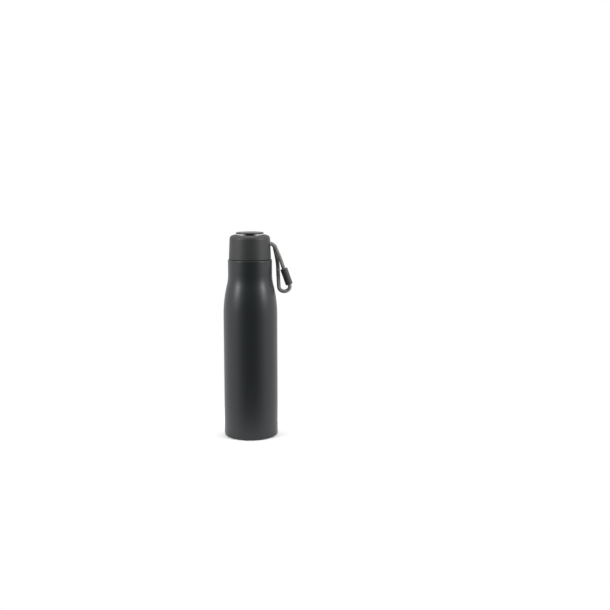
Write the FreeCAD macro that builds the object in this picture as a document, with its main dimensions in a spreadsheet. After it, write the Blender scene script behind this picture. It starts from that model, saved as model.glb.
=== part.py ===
"""Double-wall steel vacuum flask with a screw cap, a push-button valve and a cord strap.

Frame: origin at the centre of the base, +Z up the axis, the strap on the +X side. Millimetres.
"""
import FreeCAD, Part
import math
import os
from types import SimpleNamespace

import Sketcher
from FreeCAD import Placement, Rotation, Vector

DIMENSIONS = (
    # alias, value, what it is
    ("body_radius", 34.0, "outside of the straight body"),
    ("base_round", 2.5, "rounding at the foot of the body"),
    ("base_ring", 1.5, "width of the flat ring that the flask stands on"),
    ("shoulder_start", 155.0, "height where the body starts to draw in"),
    ("shoulder_rise", 51.0, "height of the shoulder's double curve"),
    ("shoulder_hollow", 50.0, "radius of the shoulder's upper, hollow curve"),
    ("neck_step", 1.25, "how much wider the neck is than the cap, radial"),
    ("neck_rise", 19.5, "height of the neck below the cap"),
    ("neck_round", 1.2, "rounding at the top edge of the neck"),
    ("tube_radius", 22.2, "outside of the threaded mouth tube, which sets the neck and the cap"),
    ("tube_rise", 13.3, "height of the mouth tube above the neck"),
    ("shell_wall", 0.5, "steel of the outer shell"),
    ("liner_wall", 0.4, "steel of the liner"),
    ("vacuum_gap", 4.0, "space between the two walls at the side"),
    ("floor_gap", 4.0, "space between the two floors"),
    ("mouth_gap", 0.5, "space between the two walls inside the mouth tube"),
    ("lip_height", 0.8, "thickness of the rolled lip"),
    ("lip_reach", 0.3, "how far the lip stands out over the mouth tube"),
    ("liner_round", 7.0, "rounding at the foot of the liner"),
    ("liner_hollow", 40.0, "radius of the liner's upper, hollow curve"),
    ("liner_lag", 5.0, "how far the liner's shoulder lies above the outer one"),
    ("liner_seam", 20.0, "height of the weld between liner and its bottom"),
    ("base_recess", 2.5, "depth of the hollow under the base"),
    ("dimple_radius", 4.5, "dimple that holds the evacuation seal"),
    ("dimple_rise", 1.0, "depth of that dimple"),
    ("bead_gap", 0.5, "dimple's wall outside the solder bead"),
    ("bead_flat", 0.7, "flat of the bead, as a share of its radius"),
    ("evacuation_hole", 0.8, "radius of the hole in the dimple"),
    ("cover_thickness", 0.4, "steel disc glued under the base"),
    ("cover_gap", 0.7, "radial play round that disc"),
    ("getter_radius", 4.0, "getter capsule"),
    ("getter_height", 2.2, "getter capsule"),
    ("getter_round", 0.4, "rounding at the capsule's top"),
    ("getter_offset", 15.0, "capsule's distance from the axis"),
    ("foil_thickness", 0.15, "copper foil round the liner"),
    ("foil_margin", 2.0, "bare liner below and above the foil"),
    ("thread_lead", 8.0, "rise of the cap in one turn"),
    ("thread_turns", 0.9, "length of each of the two thread ridges, in turns"),
    ("thread_root", 0.2, "how deep each ridge starts inside its wall"),
    ("thread_round", 0.9, "radius of the rolled ridge on the mouth tube"),
    ("thread_start", 4.1, "first ridge above the neck's top"),
    ("thread_offset", 1.45, "cap's ridge below the tube's ridge, centre to centre"),
    ("cap_ridge_height", 0.85, "how far the cap's ridge stands inwards"),
    ("cap_ridge_root", 1.7, "width of the cap's ridge at its root"),
    ("cap_ridge_tip", 0.9, "width of the cap's ridge at its tip"),
    ("thread_play", 1.2, "cap liner's bore outside the mouth tube, radial"),
    ("skirt_wall", 1.1, "wall of the cap liner's threaded skirt"),
    ("joint_gap", 0.5, "open joint between neck and cap"),
    ("skirt_set_back", 0.8, "cap liner's skirt above the cap's lower edge"),
    ("part_play", 0.1, "play between pieces that are pushed together"),
    ("gasket_height", 1.4, "gasket between lip and cap"),
    ("gasket_overhang", 0.3, "gasket inside the mouth's bore"),
    ("plate_thickness", 1.8, "cap liner's plate"),
    ("well_ledge", 2.5, "ledge in the well round the hole in that plate"),
    ("well_radius", 13.5, "bore of the button's well"),
    ("well_wall", 1.6, "wall of the well's tube"),
    ("well_top_wall", 2.1, "the same at the seal groove"),
    ("well_top_rise", 3.0, "height of that thicker stretch"),
    ("well_height", 9.0, "height of the well's tube above the plate"),
    ("groove_depth", 1.2, "seal groove in the well's tube"),
    ("groove_height", 1.4, "seal groove in the well's tube"),
    ("seal_section", 0.6, "radius of the seal ring's own section"),
    ("collar_gap", 0.15, "cap shell's collar round the well's tube"),
    ("collar_wall", 1.5, "wall of that collar"),
    ("collar_drop", 2.6, "height of that collar"),
    ("cap_skirt_wall", 1.9, "wall of the cap shell round the threaded skirt"),
    ("cap_draft", 1.1, "how much the cap draws in to its top"),
    ("cap_edge", 0.4, "rounding at the cap's lower edge"),
    ("cap_round", 5.0, "rounding at the cap's top"),
    ("cap_top_above_well", 5.0, "cap's rim above the top of the well's tube"),
    ("cap_wall", 1.4, "wall of the cap shell above the plate"),
    ("cap_inner_round", 2.5, "rounding inside the cap's top"),
    ("rim_width", 6.0, "cap's top between its side and the drinking groove"),
    ("dish_depth", 3.7, "depth of the drinking groove"),
    ("dish_round", 0.8, "roundings of the drinking groove"),
    ("strap_height", 3.0, "axis of the cord's holes above the plate"),
    ("strap_spread", 4.3, "each hole's distance from the middle"),
    ("strap_play", 0.4, "radial play of the cord in each hole"),
    ("strap_pin_radius", 1.5, "steel pin behind the holes"),
    ("strap_pin_depth", 1.0, "how deep the pin sits in its sockets"),
    ("strap_bay", 8.0, "half the width of the gap in the foam"),
    ("foam_gap", 0.2, "play round the foam"),
    ("cord_diameter", 5.0, "braided cord"),
    ("sleeve_wall", 2.1, "sleeve round the cord, radial"),
    ("sleeve_length", 21.2, "sleeve that joins the cord's ends"),
    ("sleeve_socket", 5.3, "depth of each end's socket"),
    ("sleeve_round", 0.8, "rounding at the sleeve's ends"),
    ("sleeve_grip", 0.1, "how far the sleeve squeezes the cord, radial"),
    ("guide_thickness", 2.0, "spider that guides the stem"),
    ("guide_hub", 4.2, "spider's hub, radius"),
    ("guide_hub_rise", 3.0, "hub above the spider's arms"),
    ("guide_rim", 1.0, "width of the spider's rim"),
    ("guide_web", 2.2, "solid web round the hub, radial"),
    ("guide_window", 90.0, "opening between two arms, in degrees"),
    ("stem_radius", 2.5, "valve stem"),
    ("stem_play", 0.05, "radial play of the stem in its guide"),
    ("button_travel", 2.2, "how far the button goes down"),
    ("plunger_gap", 1.1, "plunger's plate inside the well, radial"),
    ("plunger_plate_height", 1.4, "plunger's plate"),
    ("plunger_wall", 1.4, "wall of the plunger's skirt round the spring"),
    ("plunger_cavity", 7.0, "bore of that skirt"),
    ("plunger_drop", 6.5, "length of the plunger below the cup"),
    ("plunger_boss", 3.9, "boss that holds the stem, radius"),
    ("boss_clearance", 2.5, "boss above the guide's hub at rest"),
    ("cup_set_back", 0.3, "steel cup under the pad's edge, radial"),
    ("cup_height", 2.6, "steel cup under the pad"),
    ("cup_wall", 0.5, "steel cup under the pad"),
    ("cup_clearance", 0.5, "cup above the drinking groove when pressed"),
    ("drink_gap", 2.0, "drinking groove round the pad, radial"),
    ("pad_height", 1.7, "edge of the pad above the cup"),
    ("pad_dome", 0.7, "rise of the pad's dome"),
    ("pad_round", 0.6, "rounding at the pad's edge"),
    ("disc_lap", 2.4, "valve disc beyond the hole in the plate"),
    ("disc_thickness", 2.2, "valve disc"),
    ("disc_round", 0.5, "rounding at the disc's lower edge"),
    ("seal_height", 1.4, "valve seal"),
    ("seal_set_back", 0.5, "valve seal inside the disc's edge"),
    ("seal_lap", 0.6, "valve seal inside the edge of its seat"),
    ("screw_radius", 1.5, "screw under the valve disc"),
    ("screw_head", 2.8, "its head, radius"),
    ("screw_head_height", 1.6, "its head"),
    ("screw_grip", 6.0, "its length in the stem"),
    ("spring_gap", 1.0, "return spring inside the plunger's skirt, radial"),
    ("spring_wire", 0.4, "radius of the spring's wire"),
    ("spring_turns", 5.0, "number of turns"),
)

# The cord's route, chosen by hand: out of the sleeve's upper socket, up to the cap, in through one hole,
# round behind the pin, out through the other hole, down beside the neck and round into the lower socket.
SLEEVE_TOP = Vector(42.3, -0.5, 213.4)
SLEEVE_FOOT = Vector(49.3, -0.5, 193.4)
CORD_ROUTE = (
    (44.05, -0.5, 208.4), (40.9, -0.5, 217.4), (37.9, -2.2, 226.6), (33.6, -3.9, 236.4),
    (30.2, -4.3, 245.0), (18.2, -4.3, 245.0), (18.2, 4.3, 245.0), (29.8, 4.3, 245.0),
    (32.2, 3.9, 234.4), (34.8, 2.8, 221.5), (35.2, 1.7, 208.5), (35.9, 0.9, 194.0),
    (36.2, 0.7, 188.2), (39.2, 0.4, 185.0), (44.5, 0.0, 184.2), (48.8, -0.3, 186.8),
    (50.3, -0.5, 190.4), (49.0, -0.5, 194.5), (47.9, -0.5, 197.4),
)
ARC_SHARE = 0.45  # share of the shorter run beside a corner that its arc takes up

doc = FreeCAD.newDocument("vacuum_flask")
nodes = []


class Size:
    """A length together with the sheet expression it comes from: it can be drawn and bound at once."""

    def __init__(self, text, value):
        self.text = text
        self.value = value

    def joined(self, sign, other, value):
        return Size(f"({self.text} {sign} {other.text})", value)

    def __add__(self, other):
        other = size(other)
        return self.joined("+", other, self.value + other.value)

    def __sub__(self, other):
        other = size(other)
        return self.joined("-", other, self.value - other.value)

    def __mul__(self, other):
        other = size(other)
        return self.joined("*", other, self.value * other.value)

    def __truediv__(self, other):
        other = size(other)
        return self.joined("/", other, self.value / other.value)


def size(number):
    """A plain number as a Size, and a Size as it is."""
    return number if isinstance(number, Size) else Size(repr(float(number)), float(number))


def fill_sheet():
    """Write the driving dimensions into the sheet and give them back by name."""
    sheet = doc.addObject("Spreadsheet::Sheet", "Dims")
    sizes = {}
    for row, (alias, value, meaning) in enumerate(DIMENSIONS, start=1):
        sheet.set(f"A{row}", alias)
        sheet.set(f"B{row}", str(value))
        sheet.set(f"C{row}", meaning)
        sheet.setAlias(f"B{row}", alias)
        sizes[alias] = Size(f"Dims.{alias}", value)
    doc.recompute()
    return SimpleNamespace(**sizes)


def bind(target, **properties):
    """Bind properties of an object to sizes."""
    for name, value in properties.items():
        target.setExpression(name.replace("__", "."), size(value).text)


def new_body(name):
    """A PartDesign body for one piece of the flask."""
    body = doc.addObject("PartDesign::Body", name)
    body.Label = name
    nodes.append(body)
    return body


def origin_plane(body, role):
    return next(plane for plane in body.Origin.OriginFeatures if plane.Role == role)


def new_sketch(body, name, role):
    sketch = body.newObject("Sketcher::SketchObject", name)
    sketch.AttachmentSupport = [(origin_plane(body, role), "")]
    sketch.MapMode = "FlatFace"
    return sketch


def constrain(sketch, kind, *place, length):
    """Add a dimension to a sketch and bind it to its size."""
    number = sketch.addConstraint(Sketcher.Constraint(kind, *place, length.value))
    sketch.setExpression(f"Constraints[{number}]", length.text)


def arc_between(start, end, radius, turn):
    """The shorter arc from start to end. turn is 1 for anticlockwise travel and -1 for clockwise."""
    chord = end - start
    side = Vector(-chord.y, chord.x, 0).normalize() * turn
    centre = (start + end) / 2 + side * math.sqrt(max(radius ** 2 - chord.Length ** 2 / 4, 0))
    first, last = (start, end) if turn > 0 else (end, start)
    angles = [math.atan2(point.y - centre.y, point.x - centre.x) for point in (first, last)]
    if angles[1] < angles[0]:
        angles[1] += 2 * math.pi
    circle = Part.Circle(centre, Vector(0, 0, 1), radius)
    return Part.ArcOfCircle(circle, *angles)


def draw_outline(sketch, outline):
    """Draw a closed outline. Each point is (x, y), or (x, y, radius, turn) if an arc leads to it."""
    points = [tuple(size(value) for value in entry[:2]) for entry in outline]
    count = len(points)
    ends = []
    for index in range(count):
        target = outline[(index + 1) % count]
        start = Vector(points[index][0].value, points[index][1].value, 0)
        end = Vector(size(target[0]).value, size(target[1]).value, 0)
        if len(target) == 2:
            sketch.addGeometry(Part.LineSegment(start, end), False)
            ends.append((1, 2))
        else:
            radius, turn = size(target[2]), target[3]
            sketch.addGeometry(arc_between(start, end, radius.value, turn), False)
            ends.append((1, 2) if turn > 0 else (2, 1))
            constrain(sketch, "Radius", index, length=radius)
    for index in range(count):
        following = (index + 1) % count
        sketch.addConstraint(
            Sketcher.Constraint("Coincident", index, ends[index][1], following, ends[following][0]))
    for index, (across, up) in enumerate(points):
        for kind, axis, value in (("DistanceX", -2, across), ("DistanceY", -1, up)):
            if value.value == 0:
                sketch.addConstraint(Sketcher.Constraint("PointOnObject", index, ends[index][0], axis))
            else:
                constrain(sketch, kind, index, ends[index][0], length=value)


def turned(body, name, outline, kind="PartDesign::Revolution"):
    """Turn an outline of (radius, height) points about the flask's axis."""
    sketch = new_sketch(body, name + "_outline", "XZ_Plane")
    draw_outline(sketch, outline)
    feature = body.newObject(kind, name)
    feature.Profile = sketch
    feature.ReferenceAxis = (sketch, ["V_Axis"])
    feature.Angle = 360
    doc.recompute()
    return feature


def turned_body(name, outline):
    body = new_body(name)
    turned(body, name + "_turned", outline)
    return body


def ring_outline(inner, outer, foot, top):
    return [(inner, foot), (outer, foot), (outer, top), (inner, top)]


def cut(body, name, sketch, length, reverse):
    """Pocket a sketch into a body, and check that material went away."""
    before = body.Shape.Volume
    pocket = body.newObject("PartDesign::Pocket", name)
    pocket.Profile = sketch
    pocket.Reversed = reverse
    bind(pocket, Length=length)
    doc.recompute()
    if body.Shape.Volume > before - 0.01:
        raise RuntimeError(f"{name} cuts nothing")
    return pocket


def draw_circle(sketch, across, up, radius):
    centre = Vector(size(across).value, size(up).value, 0)
    number = sketch.addGeometry(Part.Circle(centre, Vector(0, 0, 1), size(radius).value), False)
    constrain(sketch, "Radius", number, length=size(radius))
    for kind, axis, value in (("DistanceX", -2, size(across)), ("DistanceY", -1, size(up))):
        if value.value == 0:
            sketch.addConstraint(Sketcher.Constraint("PointOnObject", number, 3, axis))
        else:
            constrain(sketch, kind, number, 3, length=value)


def two_start_thread(body, name, outline):
    """Two ridges that climb round the axis, half a turn apart."""
    sketch = new_sketch(body, name + "_section", "XZ_Plane")
    draw_outline(sketch, outline)
    ridge = body.newObject("PartDesign::AdditiveHelix", name)
    ridge.Profile = sketch
    ridge.ReferenceAxis = (sketch, ["V_Axis"])
    ridge.Mode = "pitch-turns-angle"
    bind(ridge, Pitch=dim.thread_lead, Turns=dim.thread_turns)
    doc.recompute()
    starts = body.newObject("PartDesign::PolarPattern", name + "_starts")
    starts.Originals = [ridge]
    starts.Axis = (sketch, ["V_Axis"])
    starts.Angle = 360
    starts.Occurrences = 2
    body.Tip = starts
    doc.recompute()


def cylinder(name, radius, height, foot=0.0, across=0.0):
    """A plain upright cylinder, for a pin, a rod or a capsule."""
    rod = doc.addObject("Part::Cylinder", name)
    bind(rod, Radius=radius, Height=height, Placement__Base__z=foot, Placement__Base__x=across)
    return rod


def shoulder(radius_low, height_low, radius_high, height_high, hollow):
    """The double curve of a shoulder: a crowned arc, then a hollow one, tangent where they meet."""
    inset = radius_low - radius_high
    rise = height_high - height_low
    total = (inset * inset + rise * rise) / (inset * 2)
    meeting = (radius_high + hollow * inset / total, height_high - hollow * rise / total)
    return [(*meeting, total - hollow, 1), (radius_high, height_high, hollow, -1)]


def shoulder_down(radius_low, height_low, radius_high, height_high, hollow):
    """The same double curve, drawn from its top to its foot."""
    up = shoulder(radius_low, height_low, radius_high, height_high, hollow)
    meeting, crown = up[0][:2], up[0][2]
    return [(*meeting, hollow, 1), (radius_low, height_low, crown, -1)]


dim = fill_sheet()

# Heights that several pieces share, from the base up.
shoulder_end = dim.shoulder_start + dim.shoulder_rise
neck_top = shoulder_end + dim.neck_rise
lip_top = neck_top + dim.tube_rise
plate_foot = lip_top + dim.gasket_height
plate_top = plate_foot + dim.plate_thickness
well_top = plate_top + dim.well_height
cap_top = well_top + dim.cap_top_above_well
dish_floor = cap_top - dim.dish_depth
cap_foot = neck_top + dim.joint_gap
cup_foot = dish_floor + dim.button_travel + dim.cup_clearance
cup_top = cup_foot + dim.cup_height
bottom_plate_top = dim.base_recess + dim.shell_wall
liner_foot = bottom_plate_top + dim.floor_gap
guide_top = plate_top + dim.guide_thickness
plunger_roof = cup_foot - dim.plunger_plate_height
disc_top = plate_foot - dim.seal_height
disc_foot = disc_top - dim.disc_thickness

# Radii that several pieces share. The mouth tube sets the cap's, and the cap sets the neck's.
liner_radius = dim.body_radius - dim.shell_wall - dim.vacuum_gap
liner_neck = dim.tube_radius - dim.shell_wall - dim.mouth_gap
mouth_radius = liner_neck - dim.liner_wall
bottom_radius = dim.body_radius - dim.base_round - dim.base_ring
skirt_bore = dim.tube_radius + dim.thread_play
skirt_radius = skirt_bore + dim.skirt_wall
shell_bore = skirt_radius + dim.part_play
cap_radius = shell_bore + dim.cap_skirt_wall
neck_radius = cap_radius + dim.neck_step
cap_top_radius = cap_radius - dim.cap_draft
cap_hollow = cap_top_radius - dim.cap_wall
dish_radius = cap_top_radius - dim.rim_width
pad_radius = dish_radius - dim.drink_gap
cup_radius = pad_radius - dim.cup_set_back
well_outside = dim.well_radius + dim.well_wall
well_top_outside = dim.well_radius + dim.well_top_wall
collar_bore = well_top_outside + dim.collar_gap
valve_opening = dim.well_radius - dim.well_ledge
disc_radius = valve_opening + dim.disc_lap
strap_pin_x = cap_hollow - dim.strap_pin_radius


def make_outer_shell():
    """The body, drawn from one tube: rolled in at the foot, narrowed at the shoulder, stepped at the neck."""
    wall = dim.shell_wall
    inside_body = dim.body_radius - wall
    inside_neck = neck_radius - wall
    inside_tube = dim.tube_radius - wall
    tube_end = lip_top - dim.lip_height
    outline = [
        (bottom_radius, 0),
        (dim.body_radius - dim.base_round, 0),
        (dim.body_radius, dim.base_round, dim.base_round, 1),
        (dim.body_radius, dim.shoulder_start),
        *shoulder(dim.body_radius, dim.shoulder_start, neck_radius, shoulder_end,
                  dim.shoulder_hollow),
        (neck_radius, neck_top - dim.neck_round),
        (neck_radius - dim.neck_round, neck_top, dim.neck_round, 1),
        (dim.tube_radius, neck_top),
        (dim.tube_radius, tube_end),
        (inside_tube, tube_end),
        (inside_tube, neck_top - wall),
        (neck_radius - dim.neck_round, neck_top - wall),
        (inside_neck, neck_top - dim.neck_round, dim.neck_round - wall, -1),
        (inside_neck, shoulder_end),
        *shoulder_down(inside_body, dim.shoulder_start, inside_neck, shoulder_end,
                       dim.shoulder_hollow + wall),
        (inside_body, dim.base_round),
        (dim.body_radius - dim.base_round, wall, dim.base_round - wall, -1),
        (bottom_radius, wall),
    ]
    body = turned_body("outer_shell", outline)
    ridge_height = neck_top + dim.thread_start
    inset = dim.tube_radius - dim.thread_root
    two_start_thread(body, "tube_thread", [
        (inset, ridge_height - dim.thread_round),
        (dim.tube_radius, ridge_height - dim.thread_round),
        (dim.tube_radius + dim.thread_round, ridge_height, dim.thread_round, 1),
        (dim.tube_radius, ridge_height + dim.thread_round, dim.thread_round, 1),
        (inset, ridge_height + dim.thread_round),
    ])


def make_outer_bottom():
    """Pressed floor of the outer shell, with a dimple for the evacuation seal."""
    wall = dim.shell_wall
    dimple_foot = dim.base_recess + dim.dimple_rise
    turned_body("outer_bottom", [
        (bottom_radius - wall, 0),
        (bottom_radius, 0),
        (bottom_radius, bottom_plate_top),
        (dim.dimple_radius + wall, bottom_plate_top),
        (dim.dimple_radius + wall, dimple_foot + wall),
        (dim.evacuation_hole, dimple_foot + wall),
        (dim.evacuation_hole, dimple_foot),
        (dim.dimple_radius, dimple_foot),
        (dim.dimple_radius, dim.base_recess),
        (bottom_radius - wall, dim.base_recess),
    ])


def make_base_pieces():
    """Cover disc, solder bead and getter, all at the outer bottom."""
    getter_top = bottom_plate_top + dim.getter_height
    cover_radius = bottom_radius - dim.shell_wall - dim.cover_gap
    turned_body("base_cover", [
        (0, dim.base_recess - dim.cover_thickness),
        (cover_radius, dim.base_recess - dim.cover_thickness),
        (cover_radius, dim.base_recess),
        (0, dim.base_recess),
    ])
    bead_radius = dim.dimple_radius - dim.bead_gap
    dimple_foot = dim.base_recess + dim.dimple_rise
    turned_body("vacuum_seal", [
        (0, dim.base_recess + dim.part_play),
        (bead_radius * dim.bead_flat, dim.base_recess + dim.part_play),
        (bead_radius, dimple_foot),
        (0, dimple_foot),
    ])
    getter = turned_body("getter", [
        (0, bottom_plate_top),
        (dim.getter_radius, bottom_plate_top),
        (dim.getter_radius, getter_top - dim.getter_round),
        (dim.getter_radius - dim.getter_round, getter_top, dim.getter_round, 1),
        (0, getter_top),
    ])
    bind(getter, Placement__Base__x=dim.getter_offset)


def make_liner():
    """Liner with its lip, its welded bottom and the foil round it."""
    wall = dim.liner_wall
    inside = liner_radius - wall
    start = dim.shoulder_start + dim.liner_lag
    end = shoulder_end + dim.liner_lag
    lip_radius = dim.tube_radius + dim.lip_reach
    lip_round = dim.lip_height / 2
    turned_body("inner_liner", [
        (liner_radius, dim.liner_seam),
        (liner_radius, start),
        *shoulder(liner_radius, start, liner_neck, end, dim.liner_hollow),
        (liner_neck, lip_top - dim.lip_height),
        (lip_radius - lip_round, lip_top - dim.lip_height),
        (lip_radius, lip_top - lip_round, lip_round, 1),
        (lip_radius - lip_round, lip_top, lip_round, 1),
        (mouth_radius + lip_round, lip_top),
        (mouth_radius, lip_top - lip_round, lip_round, 1),
        (mouth_radius, end),
        *shoulder_down(inside, start, mouth_radius, end, dim.liner_hollow + wall),
        (inside, dim.liner_seam),
    ])
    turned_body("liner_bottom", [
        (0, liner_foot),
        (liner_radius - dim.liner_round, liner_foot),
        (liner_radius, liner_foot + dim.liner_round, dim.liner_round, 1),
        (liner_radius, dim.liner_seam),
        (inside, dim.liner_seam),
        (inside, liner_foot + dim.liner_round),
        (liner_radius - dim.liner_round, liner_foot + wall, dim.liner_round - wall, -1),
        (0, liner_foot + wall),
    ])
    turned_body("radiation_foil", ring_outline(
        liner_radius, liner_radius + dim.foil_thickness,
        dim.liner_seam + dim.foil_margin, start - dim.foil_margin))


def make_gasket():
    """Silicone ring that the cap presses on the lip."""
    turned_body("cap_gasket", ring_outline(
        mouth_radius - dim.gasket_overhang, skirt_bore - dim.part_play * 2, lip_top, plate_foot))


def make_cap_liner():
    """Threaded skirt, plate with the valve's seat, and the tube of the button's well."""
    skirt_foot = cap_foot + dim.skirt_set_back
    groove_top = well_top - dim.well_top_rise / 2 + dim.groove_height / 2
    groove_foot = groove_top - dim.groove_height
    groove_floor = well_top_outside - dim.groove_depth
    thick_foot = well_top - dim.well_top_rise
    body = turned_body("cap_liner", [
        (valve_opening, plate_foot),
        (skirt_bore, plate_foot),
        (skirt_bore, skirt_foot),
        (skirt_radius, skirt_foot),
        (skirt_radius, plate_top),
        (well_outside, plate_top),
        (well_outside, thick_foot),
        (well_top_outside, thick_foot),
        (well_top_outside, groove_foot),
        (groove_floor, groove_foot),
        (groove_floor, groove_top),
        (well_top_outside, groove_top),
        (well_top_outside, well_top),
        (dim.well_radius, well_top),
        (dim.well_radius, plate_top),
        (valve_opening, plate_top),
    ])
    socket = new_sketch(body, "pin_socket_outline", "XY_Plane")
    bind(socket, AttachmentOffset__Base__z=plate_top)
    draw_circle(socket, strap_pin_x, 0, dim.strap_pin_radius)
    doc.recompute()
    cut(body, "pin_socket", socket, dim.strap_pin_depth, False)
    centre = neck_top + dim.thread_start - dim.thread_offset
    half_root = dim.cap_ridge_root / 2
    half_tip = dim.cap_ridge_tip / 2
    tip = skirt_bore - dim.cap_ridge_height
    inset = skirt_bore + dim.thread_root
    two_start_thread(body, "skirt_thread", [
        (tip, centre - half_tip),
        (skirt_bore, centre - half_root),
        (inset, centre - half_root),
        (inset, centre + half_root),
        (skirt_bore, centre + half_root),
        (tip, centre + half_tip),
    ])
    turned_body("well_seal", seal_outline(groove_floor + dim.seal_section,
                                          (groove_foot + groove_top) / 2, dim.seal_section))


def seal_outline(radius, height, section):
    """A round ring's section, as four quarter circles."""
    return [
        (radius, height - section, section, 1),
        (radius + section, height, section, 1),
        (radius, height + section, section, 1),
        (radius - section, height, section, 1),
    ]


def make_cap_shell():
    """Outer cap: drafted side, rounded top, drinking groove, collar round the well and two cord holes."""
    collar_radius = collar_bore + dim.collar_wall
    collar_foot = well_top - dim.collar_drop
    rim = cap_top_radius - dim.cap_round
    body = turned_body("cap_shell", [
        (shell_bore, cap_foot),
        (cap_radius - dim.cap_edge, cap_foot),
        (cap_radius, cap_foot + dim.cap_edge, dim.cap_edge, 1),
        (cap_top_radius, cap_top - dim.cap_round),
        (rim, cap_top, dim.cap_round, 1),
        (dish_radius + dim.dish_round, cap_top),
        (dish_radius, cap_top - dim.dish_round, dim.dish_round, 1),
        (dish_radius, dish_floor + dim.dish_round),
        (dish_radius - dim.dish_round, dish_floor, dim.dish_round, -1),
        (dim.well_radius, dish_floor),
        (dim.well_radius, well_top),
        (collar_bore, well_top),
        (collar_bore, collar_foot),
        (collar_radius, collar_foot),
        (collar_radius, well_top),
        (cap_hollow - dim.cap_inner_round, well_top),
        (cap_hollow, well_top - dim.cap_inner_round, dim.cap_inner_round, -1),
        (cap_hollow, plate_top),
        (shell_bore, plate_top),
    ])
    holes = new_sketch(body, "strap_holes_outline", "YZ_Plane")
    hole_height = plate_top + dim.strap_height
    for side in (-1, 1):
        draw_circle(holes, dim.strap_spread * side, hole_height, dim.cord_diameter / 2 + dim.strap_play)
    doc.recompute()
    cut(body, "strap_holes", holes, cap_radius * 2, True)
    socket = new_sketch(body, "shell_socket_outline", "XY_Plane")
    bind(socket, AttachmentOffset__Base__z=well_top - dim.cap_inner_round)
    draw_circle(socket, strap_pin_x, 0, dim.strap_pin_radius)
    doc.recompute()
    cut(body, "shell_socket", socket, dim.cap_inner_round + dim.strap_pin_depth, True)


def make_cap_foam():
    """Foam ring with a bay for the strap."""
    body = turned_body("cap_foam", ring_outline(
        well_outside + dim.foam_gap, cap_hollow - dim.foam_gap,
        plate_top + dim.foam_gap, well_top - dim.well_top_rise - dim.foam_gap))
    bay = new_sketch(body, "strap_bay_outline", "XY_Plane")
    bind(bay, AttachmentOffset__Base__z=plate_top)
    draw_outline(bay, [
        (0, size(0) - dim.strap_bay), (cap_radius, size(0) - dim.strap_bay),
        (cap_radius, dim.strap_bay), (0, dim.strap_bay),
    ])
    doc.recompute()
    cut(body, "strap_bay", bay, dim.well_height, True)


def make_strap_pin():
    pin = cylinder("strap_pin", dim.strap_pin_radius, dim.well_height + dim.strap_pin_depth * 2,
                   plate_top - dim.strap_pin_depth, strap_pin_x)
    pin.Label = "strap_pin"
    nodes.append(pin)


def make_stem_guide():
    """Spider in the well: a rim, three arms and a hub that the stem slides in."""
    hub_top = guide_top + dim.guide_hub_rise
    bore = dim.stem_radius + dim.stem_play
    body = turned_body("stem_guide", [
        (bore, plate_top),
        (dim.well_radius, plate_top),
        (dim.well_radius, guide_top),
        (dim.guide_hub, guide_top),
        (dim.guide_hub, hub_top),
        (bore, hub_top),
    ])
    window = new_sketch(body, "window_outline", "XY_Plane")
    bind(window, AttachmentOffset__Base__z=guide_top)
    outer = dim.well_radius - dim.guide_rim
    inner = dim.guide_hub + dim.guide_web
    half = math.radians(dim.guide_window.value) / 2
    arcs = [Part.ArcOfCircle(Part.Circle(Vector(), Vector(0, 0, 1), radius.value), -half, half)
            for radius in (outer, inner)]
    corners = [(arc.StartPoint, arc.EndPoint) for arc in arcs]
    window.addGeometry(arcs, False)
    window.addGeometry(Part.LineSegment(corners[0][1], corners[1][1]), False)
    window.addGeometry(Part.LineSegment(corners[1][0], corners[0][0]), False)
    for joint in ((0, 2, 2, 1), (2, 2, 1, 2), (1, 1, 3, 1), (3, 2, 0, 1)):
        window.addConstraint(Sketcher.Constraint("Coincident", *joint))
    for arc in (0, 1):
        window.addConstraint(Sketcher.Constraint("Coincident", arc, 3, -1, 1))
    constrain(window, "Radius", 0, length=outer)
    constrain(window, "Radius", 1, length=inner)
    for line in (2, 3):
        window.addConstraint(Sketcher.Constraint("PointOnObject", -1, 1, line))
    window.addConstraint(Sketcher.Constraint("Symmetric", 0, 1, 0, 2, -1))
    angle = window.addConstraint(Sketcher.Constraint("Angle", 0, 2 * half))
    window.setExpression(f"Constraints[{angle}]", f"{dim.guide_window.text} * 1 deg")
    doc.recompute()
    pocket = cut(body, "window", window, dim.guide_thickness, False)
    windows = body.newObject("PartDesign::PolarPattern", "windows")
    windows.Originals = [pocket]
    windows.Axis = (window, ["N_Axis"])
    windows.Angle = 360
    windows.Occurrences = 3
    body.Tip = windows


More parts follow.
